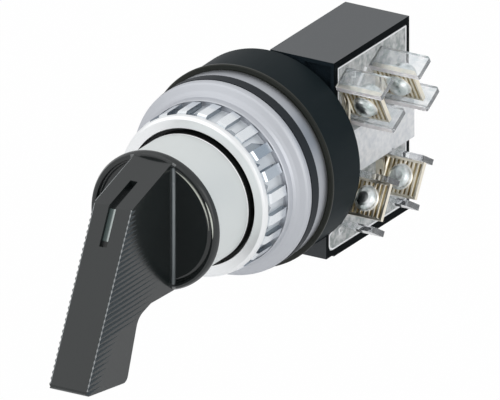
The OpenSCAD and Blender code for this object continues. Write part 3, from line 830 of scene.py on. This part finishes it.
@dataclass
class RimGlint:
    """A fine bright bead along part of the disc's rim, which thins out towards both ends.

    At turn a the bead's middle lies R cos a to the right of the switch axis and R sin a above it. Its own radius
    is full in the middle and follows half a sine down to a tenth at the ends.
    """

    name: str
    body: Body
    slot: str
    finish: Finish
    ring: float
    y: float
    turns: tuple[float, float]
    radius: float
    steps: int = 64
    sides: int = 8

    def build(self) -> bpy.types.Object:
        """Builds the bead.

        Returns:
            The new object.
        """
        t = np.linspace(0.0, 1.0, self.steps)[:, None]
        a = np.radians(self.turns[0] + (self.turns[1] - self.turns[0]) * t)
        b = np.linspace(0.0, 2 * np.pi, self.sides, endpoint=False)
        own = self.radius * (0.1 + 0.9 * np.sin(np.pi * t))
        out = self.ring + own * np.cos(b)
        verts = np.stack([out * np.cos(a), self.y + own * np.sin(b), out * np.sin(a)], axis=-1)
        i, j = np.meshgrid(np.arange(self.steps - 1), np.arange(self.sides), indexing="ij")
        j2 = (j + 1) % self.sides
        quads = np.stack([i * self.sides + j, i * self.sides + j2, (i + 1) * self.sides + j2,
                          (i + 1) * self.sides + j], axis=-1)
        ends = [list(range(self.sides))[::-1], list(range((self.steps - 1) * self.sides, self.steps * self.sides))]
        mesh = bpy.data.meshes.new(self.name)
        mesh.from_pydata((verts.reshape(-1, 3) * MM).tolist(), [], quads.reshape(-1, 4).tolist() + ends)
        mesh.shade_smooth()
        piece = bpy.data.objects.new(self.name, mesh)
        bpy.context.scene.collection.objects.link(piece)
        paint(piece, self.finish)
        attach(piece, self.body.value)
        return piece


@dataclass(frozen=True)
class Patch:
    """A darker patch of the tent.

    It begins where a direction's part along its way is begins, and has its full tone from full on.
    """

    way: tuple[float, float, float]
    begins: float
    full: float
    tone: tuple[float, float, float]


@dataclass
class Studio:
    """Camera, lamps, world and floor."""

    azimuth: float = 30.6
    elevation: float = 22.07
    pixels: tuple[int, int] = (500, 400)
    pixels_per_mm: float = 5.08
    origin_pixel: tuple[float, float] = (230.3, 172.6)
    distance: float = 0.6
    floor_z: float = -0.075
    ground: float = 0.85
    patches: tuple[Patch, ...] = (Patch((0.75, 0.6, -0.27), 0.3, 0.9, (0.8, 0.83, 0.87)),
                                  Patch((0.536, 0.798, 0.272), 0.965, 0.988, (0.33, 0.39, 0.46)))

    def build(self) -> None:
        """Places everything that isn't part of the switch."""
        self._camera()
        self._world()
        self._floor()
        self._lamp("key_lamp", (-0.45, -0.5, 0.75), 1.5, 2.6)
        self._lamp("right_lamp", (0.9, -0.35, 0.35), 0.9, 2.2)
        bpy.context.scene.view_settings.view_transform = "Standard"

    def _camera(self) -> None:
        """Aims the camera along the photograph's line of sight, with its scale and framing."""
        a, e = math.radians(self.azimuth), math.radians(self.elevation)
        right = np.array([math.cos(a), math.sin(a), 0])
        back = np.array([math.sin(a) * math.cos(e), -math.cos(a) * math.cos(e), math.sin(e)])
        up = np.cross(back, right)
        shift_u = (self.pixels[0] / 2 - self.origin_pixel[0]) / self.pixels_per_mm * MM
        shift_v = (self.pixels[1] / 2 - self.origin_pixel[1]) / self.pixels_per_mm * MM
        camera = bpy.data.objects.new("camera", bpy.data.cameras.new("camera"))
        camera.data.type = "ORTHO"
        camera.data.ortho_scale = self.pixels[0] / self.pixels_per_mm * MM
        camera.data.clip_end = 10
        camera.location = right * shift_u - up * shift_v + back * self.distance
        camera.rotation_euler = (math.radians(90 - self.elevation), 0, a)
        bpy.context.scene.collection.objects.link(camera)
        bpy.context.scene.camera = camera

    def _world(self) -> None:
        """Lights from all round like a white tent with a few darker patches, and shows white to the camera.

        In each patch the tone changes smoothly with the part of a direction that points along the patch's way.
        """
        world = bpy.data.worlds.new("tent")
        world.use_nodes = True
        tree = world.node_tree
        sky = tree.nodes["Background"]
        sky.inputs["Strength"].default_value = self.ground
        place = tree.nodes.new("ShaderNodeTexCoord")
        colour: bpy.types.NodeSocket | None = None
        for patch in self.patches:
            dot = tree.nodes.new("ShaderNodeVectorMath")
            dot.operation = "DOT_PRODUCT"
            dot.inputs[1].default_value = patch.way
            tree.links.new(place.outputs["Generated"], dot.inputs[0])
            fall = tree.nodes.new("ShaderNodeMapRange")
            fall.interpolation_type = "SMOOTHSTEP"
            fall.inputs["From Min"].default_value = patch.begins
            fall.inputs["From Max"].default_value = patch.full
            tree.links.new(dot.outputs["Value"], fall.inputs["Value"])
            tones = tree.nodes.new("ShaderNodeMix")
            tones.data_type = "RGBA"
            tones.inputs["A"].default_value = (0.985, 0.99, 1.0, 1.0)
            tones.inputs["B"].default_value = (*patch.tone, 1.0)
            tree.links.new(fall.outputs["Result"], tones.inputs["Factor"])
            if colour:
                tree.links.new(colour, tones.inputs["A"])
            colour = tones.outputs["Result"]
        tree.links.new(colour, sky.inputs["Color"])
        seen = tree.nodes.new("ShaderNodeBackground")
        seen.inputs["Strength"].default_value = 1.0
        seen.inputs["Color"].default_value = (1, 1, 1, 1)
        path = tree.nodes.new("ShaderNodeLightPath")
        either = tree.nodes.new("ShaderNodeMath")
        either.operation = "MAXIMUM"
        tree.links.new(path.outputs["Is Camera Ray"], either.inputs[0])
        tree.links.new(path.outputs["Is Transmission Ray"], either.inputs[1])
        mix = tree.nodes.new("ShaderNodeMixShader")
        tree.links.new(either.outputs["Value"], mix.inputs["Fac"])
        tree.links.new(sky.outputs["Background"], mix.inputs[1])
        tree.links.new(seen.outputs["Background"], mix.inputs[2])
        tree.links.new(mix.outputs["Shader"], tree.nodes["World Output"].inputs["Surface"])
        bpy.context.scene.world = world

    def _floor(self) -> None:
        """Lays a plain white floor, which keeps a little of the shadow."""
        half = 3.0
        mesh = bpy.data.meshes.new("floor")
        mesh.from_pydata([(-half, -half, self.floor_z), (half, -half, self.floor_z), (half, half, self.floor_z),
                          (-half, half, self.floor_z)], [], [(0, 1, 2, 3)])
        floor = bpy.data.objects.new("floor", mesh)
        bpy.context.scene.collection.objects.link(floor)
        mat = bpy.data.materials.new("floor_white")
        mat.use_nodes = True
        tree = mat.node_tree
        matte = tree.nodes["Principled BSDF"]
        matte.inputs["Base Color"].default_value = (0.86, 0.86, 0.86, 1)
        matte.inputs["Roughness"].default_value = 1.0
        glow = tree.nodes.new("ShaderNodeEmission")
        glow.inputs["Strength"].default_value = 1.0
        path = tree.nodes.new("ShaderNodeLightPath")
        either = tree.nodes.new("ShaderNodeMath")
        either.operation = "MAXIMUM"
        tree.links.new(path.outputs["Is Camera Ray"], either.inputs[0])
        tree.links.new(path.outputs["Is Transmission Ray"], either.inputs[1])
        share = tree.nodes.new("ShaderNodeMath")
        share.operation = "MULTIPLY"
        share.inputs[1].default_value = 0.97
        tree.links.new(either.outputs["Value"], share.inputs[0])
        mix = tree.nodes.new("ShaderNodeMixShader")
        tree.links.new(share.outputs["Value"], mix.inputs["Fac"])
        tree.links.new(matte.outputs["BSDF"], mix.inputs[1])
        tree.links.new(glow.outputs["Emission"], mix.inputs[2])
        tree.links.new(mix.outputs["Shader"], tree.nodes["Material Output"].inputs["Surface"])
        mesh.materials.append(mat)

    def _lamp(self, name: str, at: tuple[float, float, float], size: float, power: float) -> None:
        """Adds a square soft lamp that faces the switch.

        Args:
            name: the lamp's name.
            at: its place.
            size: its side.
            power: its power in watts.
        """
        lamp = bpy.data.lights.new(name, "AREA")
        lamp.size = size
        lamp.energy = power
        place = bpy.data.objects.new(name, lamp)
        place.location = at
        direction = -np.array(at)
        flat = math.hypot(direction[0], direction[1])
        place.rotation_euler = (math.pi / 2 + math.atan2(direction[2], flat), 0,
                                math.atan2(direction[1], direction[0]) - math.pi / 2)
        bpy.context.scene.collection.objects.link(place)


EDGED: tuple[SoftEdged, ...] = (
    LeverPiece("lever_handle", Body.OPERATOR, 0.1 * MM, edge_slot=1, finishes=(GLOSS_BLACK, EDGE_GLOSS_AND_HIGHLIGHT, VALLEY_BLACK)),
    NutPiece("ring_nut", Body.FIXED, 0.1 * MM, finishes=(LIP_CHROME, NUT_CHROME, RIB_SIDE, BAND_CHROME)),
    SoftEdged("body_housing", Body.FIXED, 0.15 * MM),
    CasePiece("block_case", Body.FIXED, 0.25 * MM, finishes=(CASE_BLACK, CASE_EDGE)),
    CoverPiece("block_cover", Body.FIXED, 0.1 * MM, finishes=(CLEAR_COVER, CLEAR_GUARD, MILKY_COVER, GUARD_EDGE)),
    *(PlatePiece(f"terminal_{high}_{far}", Body.FIXED, 0.0, finishes=(BRASS, GROOVE_BRASS),
                 upper=high == "upper", rear=far == "rear")
      for high in ("upper", "lower") for far in ("front", "rear")),
)

WIRES: tuple[PlaneWire, ...] = (
    PlaneWire("cover_rim_bead", Body.FIXED, "block_cover", RIM_WHITE_AND_HIGHLIGHT, 14.15,
              ((17.8, 18.75), (43.9, 18.75), (43.9, -18.75), (15.6, -18.75), (14.6, -18.3), (14.3, -17.4),
               (14.3, -15.6), (17.8, -13.7)), 0.2, 0.6, closed=True, steps=420),
    PlaneWire("upper_clip_wire", Body.FIXED, "block_cover", RIM_WHITE_AND_HIGHLIGHT, 14.2,
              ((21.2, 11.6), (22.0, 13.7), (23.0, 13.2), (23.2, 14.8), (24.4, 14.4), (24.6, 15.6), (25.6, 15.3)),
              0.2, 0.8, soft=6),
    PlaneWire("upper_clip_bar", Body.FIXED, "block_cover", RIM_WHITE_AND_HIGHLIGHT, 14.2,
              ((25.3, 12.2), (26.4, 13.2), (28.4, 15.4)), 0.5, 0.6, soft=4),
    PlaneWire("lower_clip_wire", Body.FIXED, "block_cover", RIM_WHITE_AND_HIGHLIGHT, 14.2,
              ((18.9, -15.1), (17.9, -15.3), (18.3, -16.6), (19.2, -16.2)), 0.2, 0.8, soft=6),
)

BEADS: tuple[EdgeBead, ...] = (
    EdgeBead("right_edge_glints", Body.OPERATOR, "lever_handle", EDGE_LIGHT, ((4.3, -45.45, 8.7), (4.3, -62.6, -23.85)),
             0.16, crests=31, low=0.25),
    EdgeBead("left_edge_glints", Body.OPERATOR, "lever_handle", EDGE_LIGHT, ((-4.1, -45.5, 8.6), (-4.1, -62.6, -23.85)),
             0.1, crests=31, low=0.6),
    # A painted highlight along the top facet's left edge.
    EdgeBead("top_left_edge_line", Body.OPERATOR, "lever_handle", EDGE_LIGHT, ((-4.3, -45.0, 8.8), (-4.3, -31.0, 12.95)),
             0.08),
    # The root beads carry a painted highlight of the lever's root curves.
    EdgeBead("right_root_bead", Body.OPERATOR, "lever_handle", ROOT_HIGHLIGHT, ((4.5, -29.6, -12.4), (4.5, -29.6, 12.2)),
             0.42),
    EdgeBead("left_root_bead", Body.OPERATOR, "lever_handle", ROOT_HIGHLIGHT, ((-4.5, -29.6, -12.4), (-4.5, -29.6, 12.2)),
             0.42),
    # A painted highlight along the tip's bottom edge.
    EdgeBead("tip_edge_line", Body.OPERATOR, "lever_handle", EDGE_GLOSS_AND_HIGHLIGHT, ((-3.9, -62.42, -24.5), (3.9, -62.42, -24.5)),
             0.25),
    # Lines of painted highlight along the upper guards' edges and their feet.
    EdgeBead("upper_front_guard_line", Body.FIXED, "block_cover", RIM_WHITE_AND_HIGHLIGHT,
             (leaning(True, False, 14.6, -0.55, 4.0), leaning(True, False, 24.4, -0.55, 4.0)), 0.16),
    EdgeBead("upper_rear_guard_line", Body.FIXED, "block_cover", RIM_WHITE_AND_HIGHLIGHT,
             (leaning(True, True, 14.6, -0.55, 4.0), leaning(True, True, 25.2, -0.55, 4.0)), 0.16),
    EdgeBead("upper_front_foot_line", Body.FIXED, "block_cover", RIM_WHITE_AND_HIGHLIGHT,
             (leaning(True, False, 14.6, -0.55, -5.0), leaning(True, False, 24.6, -0.55, -5.0)), 0.12),
    EdgeBead("upper_rear_foot_line", Body.FIXED, "block_cover", RIM_WHITE_AND_HIGHLIGHT,
             (leaning(True, True, 14.6, -0.55, -5.0), leaning(True, True, 24.6, -0.55, -5.0)), 0.12),
)

GLINTS: tuple[RimGlint, ...] = (
    RimGlint("disc_groove_glint", Body.OPERATOR, "lever_handle", RIM_GLINT, 12.5, -29.38, (70, 2), 0.24),
    RimGlint("disc_rim_glint", Body.OPERATOR, "lever_handle", RIM_GLINT, 13.68, -29.92, (30, -4), 0.2),
)

RINGS: tuple[DomeRing, ...] = tuple(
    DomeRing(f"dome_ring_{high}_{far}", high == "upper", far == "rear", DOME_EDGE)
    for high in ("upper", "lower") for far in ("front", "rear"))


def main() -> None:
    """Builds the looks in order and reports each piece."""
    logging.basicConfig(level=logging.INFO, format="%(message)s")
    Studio().build()
    for name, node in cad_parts.items():
        paint(node, NODE_FINISH[name])
        LOG.info("dressed %s", name)
    for piece in (*EDGED, *WIRES, *BEADS, *GLINTS, *RINGS):
        LOG.info("built %s", piece.build().name)


if __name__ == "__main__":
    main()
